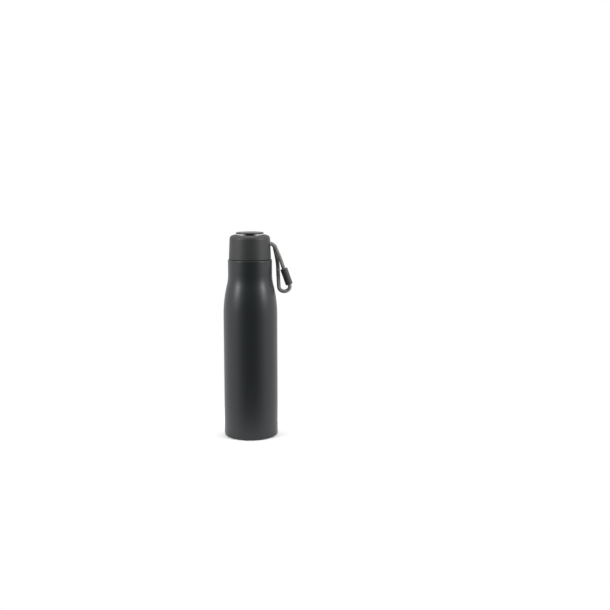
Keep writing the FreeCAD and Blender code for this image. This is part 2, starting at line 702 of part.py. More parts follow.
def make_button():
    """Pad, steel cup and plunger."""
    cup_inside = cup_radius - dim.cup_wall
    cup_floor = cup_foot + dim.cup_wall
    turned_body("button_cup", [
        (dim.plunger_boss, cup_foot),
        (cup_radius - dim.cup_wall, cup_foot),
        (cup_radius, cup_floor, dim.cup_wall, 1),
        (cup_radius, cup_top),
        (cup_inside, cup_top),
        (cup_inside, cup_floor),
        (dim.plunger_boss, cup_floor),
    ])
    pad_edge = cup_top + dim.pad_height
    flat = pad_radius - dim.pad_round
    dome = (flat * flat + dim.pad_dome * dim.pad_dome) / (dim.pad_dome * 2)
    turned_body("button_pad", [
        (0, cup_floor),
        (cup_inside, cup_floor),
        (cup_inside, cup_top),
        (pad_radius, cup_top),
        (pad_radius, pad_edge - dim.pad_round),
        (flat, pad_edge, dim.pad_round, 1),
        (0, pad_edge + dim.pad_dome, dome, 1),
    ])
    boss_foot = guide_top + dim.guide_hub_rise + dim.boss_clearance
    stem_top = cup_foot - dim.plunger_plate_height / 2
    turned_body("button_plunger", [
        (0, stem_top),
        (dim.stem_radius, stem_top),
        (dim.stem_radius, boss_foot),
        (dim.plunger_boss, boss_foot),
        (dim.plunger_boss, plunger_roof),
        (dim.plunger_cavity, plunger_roof),
        (dim.plunger_cavity, cup_foot - dim.plunger_drop),
        (dim.plunger_cavity + dim.plunger_wall, cup_foot - dim.plunger_drop),
        (dim.plunger_cavity + dim.plunger_wall, plunger_roof),
        (dim.well_radius - dim.plunger_gap, plunger_roof),
        (dim.well_radius - dim.plunger_gap, cup_foot),
        (0, cup_foot),
    ])


def make_valve():
    """Stem, disc, seal and the screw that holds the disc."""
    stem_top = cup_foot - dim.plunger_plate_height / 2
    turned_body("valve_stem", [
        (0, disc_top + dim.screw_grip),
        (dim.screw_radius, disc_top + dim.screw_grip),
        (dim.screw_radius, disc_top),
        (dim.stem_radius, disc_top),
        (dim.stem_radius, stem_top),
        (0, stem_top),
    ])
    turned_body("valve_disc", [
        (dim.screw_radius, disc_foot),
        (disc_radius - dim.disc_round, disc_foot),
        (disc_radius, disc_foot + dim.disc_round, dim.disc_round, 1),
        (disc_radius, disc_top),
        (dim.screw_radius, disc_top),
    ])
    turned_body("valve_seal", ring_outline(
        valve_opening - dim.seal_lap, disc_radius - dim.seal_set_back, disc_top, plate_foot))
    turned_body("valve_screw", [
        (0, disc_foot - dim.screw_head_height),
        (dim.screw_head, disc_foot - dim.screw_head_height),
        (dim.screw_head, disc_foot),
        (dim.screw_radius, disc_foot),
        (dim.screw_radius, disc_top + dim.screw_grip),
        (0, disc_top + dim.screw_grip),
    ])


def make_spring():
    """Return spring between the spider and the plunger's roof."""
    height = plunger_roof - guide_top - dim.spring_wire * 2
    coil_radius = dim.plunger_cavity - dim.spring_gap - dim.spring_wire
    helix = doc.addObject("Part::Helix", "spring_line")
    bind(helix, Radius=coil_radius, Height=height, Pitch=height / dim.spring_turns,
         Placement__Base__z=guide_top + dim.spring_wire)
    wire = doc.addObject("Part::Circle", "spring_section")
    bind(wire, Radius=dim.spring_wire, Placement__Base__x=coil_radius,
         Placement__Base__z=guide_top + dim.spring_wire)
    wire.Placement.Rotation = Rotation(Vector(1, 0, 0), 90)
    spring = doc.addObject("Part::Sweep", "return_spring")
    spring.Sections = [wire]
    spring.Spine = (helix, [])
    spring.Solid = True
    spring.Frenet = True
    spring.Label = "return_spring"
    nodes.append(spring)


def cord_path(points):
    """Straight runs joined by tangent arcs, each as large as its two runs allow."""
    edges = []
    last = points[0]
    radii = []
    for before, corner, after in zip(points, points[1:], points[2:]):
        back, ahead = before - corner, after - corner
        run = min(back.Length, ahead.Length)
        turn = math.pi - back.getAngle(ahead)
        reach = ARC_SHARE * run
        radii.append(reach / math.tan(turn / 2))
        entry = corner + back.normalize() * reach
        leave = corner + ahead.normalize() * reach
        bisector = (back + ahead).normalize()
        middle = corner + bisector * (radii[-1] / math.cos(turn / 2) - radii[-1])
        edges.append(Part.LineSegment(last, entry).toShape())
        edges.append(Part.Arc(entry, middle, leave).toShape())
        last = leave
    edges.append(Part.LineSegment(last, points[-1]).toShape())
    print("cord arc radii, mm:", [round(radius, 1) for radius in radii])
    return Part.Wire(edges)


def make_strap():
    """Cord loop and the sleeve that joins its two ends."""
    route = [Vector(*point) for point in CORD_ROUTE]
    path = cord_path(route)
    radius = dim.cord_diameter.value / 2
    section = Part.Wire(Part.Circle(route[0], route[1] - route[0], radius).toShape())
    cord = doc.addObject("Part::Feature", "strap_cord")
    cord.Shape = path.makePipeShell([section], True, True)
    cord.Label = "strap_cord"
    nodes.append(cord)
    expected = math.pi * radius ** 2 * path.Length
    print(f"cord length {path.Length:.1f} mm, volume {cord.Shape.Volume:.0f}, expected {expected:.0f}")

    tilt = Rotation(Vector(0, 0, 1), SLEEVE_TOP - SLEEVE_FOOT)
    sleeve = doc.addObject("PartDesign::Body", "strap_sleeve")
    turned(sleeve, "sleeve_turned", sleeve_outline())
    sleeve.Placement = Placement(SLEEVE_FOOT, tilt)
    sleeve.Label = "strap_sleeve"
    nodes.append(sleeve)


def sleeve_outline():
    """Round sleeve with a blind socket in each end."""
    bore = dim.cord_diameter / 2 - dim.sleeve_grip
    top = dim.sleeve_length
    edge = dim.sleeve_round
    outside = dim.cord_diameter / 2 + dim.sleeve_wall
    return [
        (bore, 0),
        (outside - edge, 0),
        (outside, edge, edge, 1),
        (outside, top - edge),
        (outside - edge, top, edge, 1),
        (bore, top),
        (bore, top - dim.sleeve_socket),
        (0, top - dim.sleeve_socket),
        (0, dim.sleeve_socket),
        (bore, dim.sleeve_socket),
    ]


def check_document():
    """Stop if any object failed or any piece isn't a valid solid."""
    doc.recompute()
    for item in doc.Objects:
        if "Invalid" in item.State or "Error" in item.State:
            raise RuntimeError(f"{item.Label} failed: {item.State}")
    for node in nodes:
        if node.Shape.isNull() or not node.Shape.isValid() or not node.Shape.Solids:
            raise RuntimeError(f"{node.Label} is not a valid solid")


def write_parts():
    os.makedirs("parts", exist_ok=True)
    for node in nodes:
        node.Shape.exportStep(f"parts/{node.Label}.step")
        print(f"{node.Label:16s} {node.Shape.Volume / 1000:8.3f} cm3  {len(node.Shape.Solids)} solid(s)")
    print(len(nodes), "pieces")


make_outer_shell()
make_outer_bottom()
make_base_pieces()
make_liner()
make_gasket()
make_cap_liner()
make_cap_shell()
make_cap_foam()
make_strap_pin()
make_stem_guide()
make_button()
make_valve()
make_spring()
make_strap()
check_document()
write_parts()
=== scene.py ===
# %% [markdown]
# # Vacuum flask with a push-button cap
#
# The flask is a double-wall steel bottle with a matt powder coat. A charcoal plastic cap screws on to its
# neck, a black button stands on a steel cup in the cap's top, and a braided cord loop hangs from the cap's
# side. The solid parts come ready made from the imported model. This script gives them their finishes, and
# models the pieces that need finer work: the braided strap and the return spring.

# %% Load the model
import math

import bmesh
import bpy
from mathutils import Matrix, Vector


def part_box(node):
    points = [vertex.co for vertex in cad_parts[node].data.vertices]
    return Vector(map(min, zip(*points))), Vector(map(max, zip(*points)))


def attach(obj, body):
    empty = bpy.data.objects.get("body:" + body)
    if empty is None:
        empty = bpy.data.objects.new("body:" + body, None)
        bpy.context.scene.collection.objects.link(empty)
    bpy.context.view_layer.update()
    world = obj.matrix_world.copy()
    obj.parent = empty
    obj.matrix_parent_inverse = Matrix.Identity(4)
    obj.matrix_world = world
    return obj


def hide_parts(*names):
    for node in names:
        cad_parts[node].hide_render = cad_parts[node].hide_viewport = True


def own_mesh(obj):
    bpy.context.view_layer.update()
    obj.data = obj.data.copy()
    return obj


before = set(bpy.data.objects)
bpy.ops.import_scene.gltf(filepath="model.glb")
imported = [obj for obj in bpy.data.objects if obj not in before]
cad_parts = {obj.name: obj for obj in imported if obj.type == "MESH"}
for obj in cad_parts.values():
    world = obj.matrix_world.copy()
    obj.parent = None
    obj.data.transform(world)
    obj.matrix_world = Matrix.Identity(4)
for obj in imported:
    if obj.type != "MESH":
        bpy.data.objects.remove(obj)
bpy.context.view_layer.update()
MM = 0.001


# %% [markdown]
# ## Camera
#
# A product picture of a bottle is taken with a fairly long lens, from a little above the cap, so that the
# cap's top and the foot both show as flat ellipses. The camera could be aimed at the middle of the flask
# and the picture shifted, but here it is tilted and panned, as on a tripod. The flask then stands to the
# left of the middle and a little below it.

# %% Camera
CAMERA_PLACE = Vector((0, -1200, 340)) * MM
CAMERA_TILT = math.radians(8.2)
CAMERA_PAN = math.radians(-3.3)
LENS_MM = 56.5
FILM_WIDTH_MM = 36

camera_data = bpy.data.cameras.new("camera")
camera_data.lens = LENS_MM
camera_data.sensor_width = FILM_WIDTH_MM
camera = bpy.data.objects.new("camera", camera_data)
camera.location = CAMERA_PLACE
camera.rotation_euler = (math.radians(90) - CAMERA_TILT, 0, CAMERA_PAN)
bpy.context.scene.collection.objects.link(camera)
bpy.context.scene.camera = camera
print("camera at", [round(x, 3) for x in camera.location], "with a lens of", LENS_MM, "mm")


# %% [markdown]
# ## Strap: the line of the cord
#
# The strap is one 5 mm cord. It leaves the sleeve, goes up to the cap, in through one hole, round a steel
# pin and out through the other hole, then hangs down and turns back up into the sleeve. Straight runs with
# rounded corners would look like wire. A smooth NURBS line, pulled towards a few listed control points,
# bends as a soft cord does. The tube round it is only the cord's dark core, because the braid covers it.

# %% The cord's core
CORD_ROUTE = (
    # control points in millimetres, from the sleeve's top round to its foot
    (44.05, -0.5, 208.4), (40.9, -0.5, 217.4), (37.9, -2.2, 226.6), (33.6, -3.9, 236.4),
    (30.2, -4.3, 245.0), (18.2, -4.3, 245.0), (18.2, 4.3, 245.0), (29.8, 4.3, 245.0),
    (32.2, 3.9, 234.4), (34.8, 2.8, 221.5), (35.2, 1.7, 208.5), (35.9, 0.9, 194.0),
    (36.2, 0.7, 188.2), (39.2, 0.4, 185.0), (44.5, 0.0, 184.2), (48.8, -0.3, 186.8),
    (50.3, -0.5, 190.4), (49.0, -0.5, 194.5), (47.9, -0.5, 197.4),
)
CORD_RADIUS = 2.5 * MM
CORE_RADIUS = 1.75 * MM
STEPS_BETWEEN_POINTS = 16

cord_line = bpy.data.curves.new("strap_core", "CURVE")
cord_line.dimensions = "3D"
cord_line.resolution_u = STEPS_BETWEEN_POINTS
spline = cord_line.splines.new("NURBS")
spline.points.add(len(CORD_ROUTE) - 1)
for point, place in zip(spline.points, CORD_ROUTE):
    point.co = (*(Vector(place) * MM), 1)
    point.radius = CORE_RADIUS
spline.order_u = 3
spline.use_endpoint_u = True
core = bpy.data.objects.new("strap_core", cord_line)
bpy.context.scene.collection.objects.link(core)
print("the cord's line has", len(spline.points), "control points")


# %% Points along the cord, a fixed step apart
def points_along(curve_object, step):
    """Evenly spaced points and directions on a curve that has no bevel yet."""
    bpy.context.view_layer.update()
    line = bpy.data.meshes.new_from_object(curve_object)
    corners = [vertex.co.copy() for vertex in line.vertices]
    bpy.data.meshes.remove(line)
    reach = [0.0]
    for before, after in zip(corners, corners[1:]):
        reach.append(reach[-1] + (after - before).length)
    count = round(reach[-1] / step)
    places, index = [], 0
    for number in range(count + 1):
        target = reach[-1] * number / count
        while index < len(corners) - 2 and reach[index + 1] < target:
            index += 1
        share = (target - reach[index]) / (reach[index + 1] - reach[index])
        places.append(corners[index].lerp(corners[index + 1], share))
    directions = [(places[min(index + 1, count)] - places[max(index - 1, 0)]).normalized()
                  for index in range(count + 1)]
    return places, directions, reach[-1]


STRAND_STEP = 0.4 * MM
cord_places, cord_directions, cord_length = points_along(core, STRAND_STEP)
print("cord length", round(cord_length / MM, 1), "mm in", len(cord_places), "points")

# %% The tube round the line
# A tube's radius is the bevel depth times the radius of each point, so a depth of 1 leaves it to the points.
cord_line.bevel_depth = 1
cord_line.bevel_resolution = 4
cord_line.use_fill_caps = True
print("core diameter", round(2 * CORE_RADIUS / MM, 2), "mm")


# %% [markdown]
# ## Strap: the braid
#
# A round braid has sixteen bundles of yarn. Eight climb to the right and eight to the left, and each passes
# over two others and then under two. A bump map could suggest that, but the outline would stay smooth, so
# each bundle is modelled. It starts as a flat grid, which is rolled into a flattened tube and laid on its
# helix round the cord. The helix needs two side directions at every point of the cord, and they must not
# twist on the way, so each pair is the pair before it, turned only as much as the cord itself turns.

# %% Two side directions that travel along the cord without twisting
side = cord_directions[0].orthogonal().normalized()
cord_sides = []
for index, direction in enumerate(cord_directions):
    if index:
        side = cord_directions[index - 1].rotation_difference(direction) @ side
    side = (side - direction * side.dot(direction)).normalized()
    cord_sides.append((side.copy(), direction.cross(side)))
print("side directions at", len(cord_sides), "points")

# %% The braid's sizes
BUNDLES_EACH_WAY = 8
BRAID_LEAD = 14.5 * MM
BUNDLE_WIDTH = 1.24 * MM
BUNDLE_THICKNESS = 0.52 * MM
WEAVE_DEPTH = 0.27 * MM
BUNDLE_CORNERS = 8
BRAID_RADIUS = CORD_RADIUS - WEAVE_DEPTH - BUNDLE_THICKNESS / 2
BRAID_SLANT = math.atan(2 * math.pi * BRAID_RADIUS / BRAID_LEAD)
print("bundles slant by", round(math.degrees(BRAID_SLANT)), "degrees from the cord's line")


# %% Where one point of a bundle goes
def bundle_point(number, hand, along, around):
    """The place on one bundle: along it in steps of the cord, around its own section in radians."""
    step = min(int(along), len(cord_places) - 2)
    share = along - step
    centre = cord_places[step].lerp(cord_places[step + 1], share)
    across, up = (cord_sides[step][k].lerp(cord_sides[step + 1][k], share) for k in (0, 1))
    turn = 2 * math.pi * along * STRAND_STEP / BRAID_LEAD
    # Four crossings, two over and two under, make one wave of a bundle.
    crossing = turn * BUNDLES_EACH_WAY / math.pi
    phase = math.pi * (number + hand * crossing / 2) - math.pi / 4
    height = BRAID_RADIUS + hand * WEAVE_DEPTH * math.cos(phase)
    spot = hand * turn + 2 * math.pi * number / BUNDLES_EACH_WAY
    sideways = math.cos(around) * BUNDLE_WIDTH / 2 / math.cos(BRAID_SLANT)
    spot += sideways / BRAID_RADIUS
    height += math.sin(around) * BUNDLE_THICKNESS / 2
    return centre + (across * math.cos(spot) + up * math.sin(spot)) * height


# %% Sixteen woven bundles
def roll_bundle(mesh, number, hand):
    """Roll a flat grid into one bundle. Its rows go round the section and its columns go along the cord."""
    lengthwise = len(cord_places) - 1
    made = bmesh.ops.create_grid(mesh, x_segments=lengthwise, y_segments=BUNDLE_CORNERS, size=1,
                                 calc_uvs=True)
    for vertex in made["verts"]:
        along = (vertex.co.x + 1) / 2 * lengthwise
        around = (vertex.co.y + 1) * math.pi
        vertex.co = bundle_point(number, hand, along, around)


MERGE_DISTANCE = 0.002 * MM

braid_mesh = bmesh.new()
braid_mesh.loops.layers.uv.new("UVMap")
for hand in (1, -1):
    for number in range(BUNDLES_EACH_WAY):
        roll_bundle(braid_mesh, number, hand)
bmesh.ops.remove_doubles(braid_mesh, verts=braid_mesh.verts, dist=MERGE_DISTANCE)
bmesh.ops.holes_fill(braid_mesh, edges=braid_mesh.edges, sides=BUNDLE_CORNERS)
bmesh.ops.recalc_face_normals(braid_mesh, faces=braid_mesh.faces)
print("braid:", len(braid_mesh.faces), "faces")


# %% [markdown]
# ## From bmesh to object
#
# Every new piece becomes an object at the origin, with its place in its mesh. One helper does that, shades
# it smooth, and says which moving body it rides on and which ready-made part it stands for. The cord's
# core rides on the cap as well.

# %% Finish a piece
def finished(name, mesh, body, slot, *replaced):
    """Turn a bmesh into a smooth-shaded object that rides on a body and stands for ready-made parts."""
    data = bpy.data.meshes.new(name)
    mesh.to_mesh(data)
    mesh.free()
    data.polygons.foreach_set("use_smooth", [True] * len(data.polygons))
    piece = bpy.data.objects.new(name, data)
    bpy.context.scene.collection.objects.link(piece)
    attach(piece, body)
    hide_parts(*replaced)
    print(name, "has", len(data.vertices), "vertices")
    return piece


braid = finished("strap_braid", braid_mesh, "cap", "cord", "strap_cord")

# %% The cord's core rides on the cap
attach(core, "cap")


# %% [markdown]
# ## Return spring
#
# A coil spring under the button pushes the valve shut. Its end turns lie flat so that it stands straight,
# and the turns between them are open. A Screw modifier could coil a wire, but only with one rise all the
# way. So a small circle is spun round the axis three times over: a flat turn, the open turns and a flat
# turn.

# %% The spring's sizes
WIRE_RADIUS = 0.4 * MM
WIRE_CORNERS = 10
STEPS_PER_TURN = 40
OPEN_TURNS = 3

spring_low, spring_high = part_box("return_spring")
spring_height = spring_high.z - spring_low.z
coil_radius = spring_high.x - WIRE_RADIUS
flat_rise = 2 * WIRE_RADIUS
open_rise = spring_height - 2 * WIRE_RADIUS - 2 * flat_rise
print("spring height", round(spring_height / MM, 2), "mm, coil radius", round(coil_radius / MM, 2), "mm")

# %% Coil the spring
spring_mesh = bmesh.new()
ring = bmesh.ops.create_circle(spring_mesh, segments=WIRE_CORNERS, radius=WIRE_RADIUS)["verts"]
bmesh.ops.rotate(spring_mesh, verts=ring, cent=(0, 0, 0), matrix=Matrix.Rotation(math.radians(90), 3, "X"))
bmesh.ops.translate(spring_mesh, verts=ring, vec=(coil_radius, 0, spring_low.z + WIRE_RADIUS))
wire_end = list(spring_mesh.edges)
for turns, rise in ((1, flat_rise), (OPEN_TURNS, open_rise), (1, flat_rise)):
    steps = turns * STEPS_PER_TURN
    spun = bmesh.ops.spin(spring_mesh, geom=wire_end, cent=(0, 0, 0), axis=(0, 0, 1),
                          dvec=(0, 0, rise / steps), angle=2 * math.pi * turns, steps=steps)
    wire_end = [item for item in spun["geom_last"] if isinstance(item, bmesh.types.BMEdge)]
bmesh.ops.holes_fill(spring_mesh, edges=spring_mesh.edges, sides=WIRE_CORNERS)
bmesh.ops.recalc_face_normals(spring_mesh, faces=spring_mesh.faces)
spring = finished("return_spring_coil", spring_mesh, "cap", "steel", "return_spring")

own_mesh(spring)


# %% [markdown]
# ## Tools for finishes
#
# Colours are chosen as the hex values that a screen shows, and the shader wants linear light, so one
# function turns them. Another adds a node with its settings and links. A pattern's scale is the number of
# its features in a metre, so it is worked out from the real size of a grain. The sizes of patterns and the
# heights of bumps are given in millimetres.

# %% Colour, scale and node helpers
def linear(hex_colour):
    """A screen colour such as "#8090a0" as linear light, with full opacity."""
    parts = [int(hex_colour[i:i + 2], 16) / 255 for i in (1, 3, 5)]
    return (*(c / 12.92 if c <= 0.04045 else ((c + 0.055) / 1.055) ** 2.4 for c in parts), 1.0)


def per_metre(millimetres):
    """How many features of that size there are in a metre."""
    return 1000 / millimetres


def add(tree, kind, inputs=None, **settings):
    """Add a node. An input takes a value, an output, or a node, which stands for its first output."""
    made = tree.nodes.new(kind)
    for name, value in settings.items():
        setattr(made, name, value)
    for name, value in (inputs or {}).items():
        socket = made.inputs[name] if isinstance(name, int) else next(
            each for each in made.inputs if each.enabled and each.name == name)
        if isinstance(value, bpy.types.Node):
            value = next(each for each in value.outputs if each.enabled)
        if isinstance(value, bpy.types.NodeSocket):
            tree.links.new(value, socket)
        else:
            socket.default_value = value
    return made


# %% Starting and finishing a material
def new_material(name):
    """An empty material, its node tree, and the place of each point on the model in metres."""
    material = bpy.data.materials.new(name)
    material.use_nodes = True
    tree = material.node_tree
    tree.nodes.clear()
    return material, tree, add(tree, "ShaderNodeTexCoord").outputs["Object"]


def surface(tree, height_mm, inputs):
    """End a material in one Principled shader, with a bump whose height is in millimetres."""
    bump = add(tree, "ShaderNodeBump", {"Height": height_mm, "Distance": 1 * MM})
    shader = add(tree, "ShaderNodeBsdfPrincipled", {**inputs, "Normal": bump})
    add(tree, "ShaderNodeOutputMaterial", {"Surface": shader})


def between(tree, value, low, high):
    """Noise that mostly runs from 0.3 to 0.7, stretched to run from low to high."""
    return add(tree, "ShaderNodeMapRange", {"Value": value, "From Min": 0.3, "From Max": 0.7,
                                            "To Min": low, "To Max": high})


def paint(material, *pieces):
    """Give pieces a finish. A ready-made part is given by its name."""
    pieces = [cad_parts[piece] if isinstance(piece, str) else piece for piece in pieces]
    for piece in pieces:
        piece.data.materials.clear()
        piece.data.materials.append(material)
    print(material.name, "on", ", ".join(piece.name for piece in pieces))


# %% [markdown]
# ## Bare stainless steel
#
# The liner, the mouth tube and the bottoms are spun and polished, so fine marks run round the axis. They
# could be an image, but noise that is stretched along the angle and tight across it gives the same marks at
# any size. They are drawn 0.25 mm apart, coarser than real ones, so that they show. Steel's colour is a
# warm light grey, and the marks decide the rest: satin steel spreads a highlight round the flask, and
# polished steel mirrors the room. Zinc plating is bluer and duller.

# %% Marks that run round the axis
MARK_SPACING = 0.25
MARKS_PER_RADIAN = 3.0


def turned_marks(tree, place):
    """Noise in long thin streaks round the flask's axis."""
    axes = add(tree, "ShaderNodeSeparateXYZ", {"Vector": place})
    angle = add(tree, "ShaderNodeMath", {0: axes.outputs["Y"], 1: axes.outputs["X"]}, operation="ARCTAN2")
    level = add(tree, "ShaderNodeVectorMath", {0: place, 1: (1, 1, 0)}, operation="MULTIPLY")
    radius = add(tree, "ShaderNodeVectorMath", {0: level}, operation="LENGTH").outputs["Value"]
    streaks = add(tree, "ShaderNodeCombineXYZ", {"X": angle, "Y": radius, "Z": axes.outputs["Z"]})
    scale = (MARKS_PER_RADIAN, per_metre(MARK_SPACING), per_metre(MARK_SPACING))
    stretched = add(tree, "ShaderNodeVectorMath", {0: streaks, 1: scale}, operation="MULTIPLY")
    return add(tree, "ShaderNodeTexNoise", {"Vector": stretched, "Scale": 1.0, "Detail": 3.0,
                                            "Roughness": 0.6})


# %% Steel finishes
BARE_STEEL = "#c3c2be"


def steel(name, colour, smoothest, roughest, mark_depth):
    """Steel whose turned marks vary its roughness. The depth of the marks is in millimetres."""
    material, tree, place = new_material(name)
    marks = turned_marks(tree, place)
    depth = add(tree, "ShaderNodeMath", {0: marks, 1: mark_depth}, operation="MULTIPLY")
    surface(tree, depth, {"Base Color": linear(colour), "Metallic": 1.0,
                          "Roughness": between(tree, marks, smoothest, roughest)})
    return material


paint(steel("satin_stainless_steel", BARE_STEEL, smoothest=0.22, roughest=0.38, mark_depth=0.004),
      "outer_bottom", "inner_liner", "liner_bottom")
paint(steel("polished_stainless_steel", "#d2d1cd", smoothest=0.10, roughest=0.18, mark_depth=0.001),
      "button_cup", "strap_pin", "base_cover")
paint(steel("zinc_plated_steel", "#aeb0b1", smoothest=0.28, roughest=0.40, mark_depth=0.002),
      "getter", "valve_screw", spring)


# %% [markdown]
# ## Powder coat
#
# Powder is sprayed on dry and melted in an oven. It leaves an even, nearly black film that is slightly
# pebbled, as orange peel is, with a fine grit on top. The film is plastic, so it has a soft white sheen and
# no metal colour. The shell is one part, so its coat and its bare mouth tube share one material. The coat
# covers the neck's step and stops at the tube, so one height splits the two finishes.

# %% The coat and the tube: sizes in millimetres
PEEL_SIZE = 1.3
PEEL_DEPTH = 0.010
GRIT_SIZE = 0.35
GRIT_DEPTH = 0.006
TUBE_MARK_DEPTH = 0.003
COAT_TOP = 225.55

powder_coat, tree, place = new_material("powder_coated_steel")
level = add(tree, "ShaderNodeSeparateXYZ", {"Vector": place}).outputs["Z"]
bare = add(tree, "ShaderNodeMath", {0: level, 1: COAT_TOP * MM}, operation="GREATER_THAN")
peel = add(tree, "ShaderNodeTexNoise", {"Vector": place, "Scale": per_metre(PEEL_SIZE), "Detail": 1.0})
grit = add(tree, "ShaderNodeTexNoise", {"Vector": place, "Scale": per_metre(GRIT_SIZE), "Detail": 2.0})
marks = turned_marks(tree, place)

# %% Its colour and gloss
film = add(tree, "ShaderNodeMix", {"Factor": grit, "A": linear("#1a1d1f"), "B": linear("#222628")},
           data_type="RGBA")
colour = add(tree, "ShaderNodeMix", {"Factor": bare, "A": film, "B": linear(BARE_STEEL)}, data_type="RGBA")
rough = add(tree, "ShaderNodeMix", {"Factor": bare, "A": between(tree, grit, 0.32, 0.42),
                                    "B": between(tree, marks, 0.20, 0.32)})

# %% Its relief
peel_height = add(tree, "ShaderNodeMath", {0: peel, 1: PEEL_DEPTH}, operation="MULTIPLY")
film_height = add(tree, "ShaderNodeMath", {0: grit, 1: GRIT_DEPTH, 2: peel_height},
                  operation="MULTIPLY_ADD")
tube_height = add(tree, "ShaderNodeMath", {0: marks, 1: TUBE_MARK_DEPTH}, operation="MULTIPLY")
height = add(tree, "ShaderNodeMix", {"Factor": bare, "A": film_height, "B": tube_height})
surface(tree, height, {"Base Color": colour, "Metallic": bare, "Roughness": rough})
paint(powder_coat, "outer_shell")


# %% [markdown]
# ## Moulded plastics and rubber
#
# A mould for a handled part is spark-eroded, which prints a fine even grain into the plastic. An image of
# grain would show seams on these round pieces, and noise has none. The grains are drawn about 0.3 mm wide,
# a little coarser than most real ones, so that they show. Grain, colour and roughness differ from piece to
# piece, and the rest is the same, so one recipe serves them all. The cap's polypropylene is charcoal and
# quite dull. The button's ABS pad is blacker and glossier. The inner mouldings are plain black, the sleeve
# is a dull dark rubber, and the silicone seals are a pale, frosted grey.

# %% Grained mouldings
FLOW_PER_GRAIN = 30  # how many grains wide a flow mark is


def moulded(name, colour, lighter, smoothest, roughest, grain, depth):
    """Plastic or rubber with a moulded grain and broad flow marks. Grain and depth are in millimetres."""
    material, tree, place = new_material(name)
    pits = add(tree, "ShaderNodeTexNoise", {"Vector": place, "Scale": per_metre(grain), "Detail": 2.0})
    flow = add(tree, "ShaderNodeTexNoise", {"Vector": place, "Scale": per_metre(grain * FLOW_PER_GRAIN),
                                            "Detail": 1.0})
    mottle = add(tree, "ShaderNodeMath", {0: pits, 1: flow}, operation="MULTIPLY")
    tone = add(tree, "ShaderNodeMix", {"Factor": mottle, "A": linear(colour), "B": linear(lighter)},
               data_type="RGBA")
    height = add(tree, "ShaderNodeMath", {0: pits, 1: depth}, operation="MULTIPLY")
    surface(tree, height, {"Base Color": tone, "Roughness": between(tree, pits, smoothest, roughest)})
    return material


paint(moulded("grained_polypropylene", "#282929", "#333434", smoothest=0.46, roughest=0.58, grain=0.32,
              depth=0.010), "cap_shell")
paint(moulded("black_abs", "#141517", "#1f2022", smoothest=0.34, roughest=0.44, grain=0.28, depth=0.004),
      "button_pad")
paint(moulded("black_polypropylene", "#202122", "#2b2c2d", smoothest=0.38, roughest=0.50, grain=0.30,
              depth=0.004), "cap_liner", "stem_guide", "button_plunger", "valve_stem", "valve_disc")
paint(moulded("sleeve_rubber", "#363837", "#454746", smoothest=0.50, roughest=0.62, grain=0.30, depth=0.008),
      "strap_sleeve")
paint(moulded("frosted_silicone", "#a6a7a3", "#bcbdb9", smoothest=0.44, roughest=0.56, grain=0.25,
              depth=0.003), "cap_gasket", "well_seal", "valve_seal")


# %% [markdown]
# ## Hidden layers
#
# Three finishes are only seen when the flask is taken apart. The foam is closed-cell polyethylene, a heap
# of small bubbles, and Voronoi cells give their rounded walls. The copper foil is creased by hand as it is
# wrapped. The evacuation hole is sealed with a drop of glass solder, which is smooth with a few bubbles in
# it.

# %% Foam
FOAM_CELL = 0.9
FOAM_DEPTH = 0.15

foam, tree, place = new_material("polyethylene_foam")
cells = add(tree, "ShaderNodeTexVoronoi", {"Vector": place, "Scale": per_metre(FOAM_CELL)})
tone = add(tree, "ShaderNodeMix", {"Factor": cells, "A": linear("#efede5"), "B": linear("#cfccc0")},
           data_type="RGBA")
height = add(tree, "ShaderNodeMath", {0: cells, 1: -FOAM_DEPTH}, operation="MULTIPLY")
surface(tree, height, {"Base Color": tone, "Roughness": 0.85})
paint(foam, "cap_foam")

# %% Copper foil
CREASE_SIZE = 7.0
CREASE_DEPTH = 0.12

copper, tree, place = new_material("creased_copper_foil")
creases = add(tree, "ShaderNodeTexVoronoi", {"Vector": place, "Scale": per_metre(CREASE_SIZE)})
stains = add(tree, "ShaderNodeTexNoise", {"Vector": place, "Scale": per_metre(CREASE_SIZE), "Detail": 3.0})
tone = add(tree, "ShaderNodeMix", {"Factor": stains, "A": linear("#c98665"), "B": linear("#dd9c7b")},
           data_type="RGBA")
height = add(tree, "ShaderNodeMath", {0: creases, 1: CREASE_DEPTH}, operation="MULTIPLY")
surface(tree, height, {"Base Color": tone, "Metallic": 1.0, "Roughness": between(tree, stains, 0.16, 0.30)})
paint(copper, "radiation_foil")

# %% Glass solder
BUBBLE_SIZE = 0.8
BUBBLE_DEPTH = 0.03

solder, tree, place = new_material("glass_solder")
bubbles = add(tree, "ShaderNodeTexVoronoi", {"Vector": place, "Scale": per_metre(BUBBLE_SIZE)})
tone = add(tree, "ShaderNodeMix", {"Factor": bubbles, "A": linear("#56645c"), "B": linear("#3d4a44")},
           data_type="RGBA")
height = add(tree, "ShaderNodeMath", {0: bubbles, 1: BUBBLE_DEPTH}, operation="MULTIPLY")
surface(tree, height, {"Base Color": tone, "Roughness": 0.12, "IOR": 1.6})
paint(solder, "vacuum_seal")


# %% [markdown]
# ## Braided yarn
#
# The cord is grey polyester. Each bundle holds a few yarns side by side, and each yarn is hundreds of fine
# filaments. The bundle's own UV map runs along it and round it, so a wave across it gives the yarns as
# ridges, long thin noise gives the filaments, and a little sheen gives the fuzz. The wave and the noise
# also darken the colour in the grooves and lighten it on the crests, as painted shade. The filaments are
# drawn far thicker than real ones, so that they show. The filling inside the braid is loose dark yarn, and
# only shows in the gaps.

# %% Polyester yarn: ridges and filaments
YARNS_ROUND = 7
FILAMENTS_ROUND = 40
FILAMENT_LENGTH = 6.0
YARN_DEPTH = 0.05
FILAMENT_DEPTH = 0.02

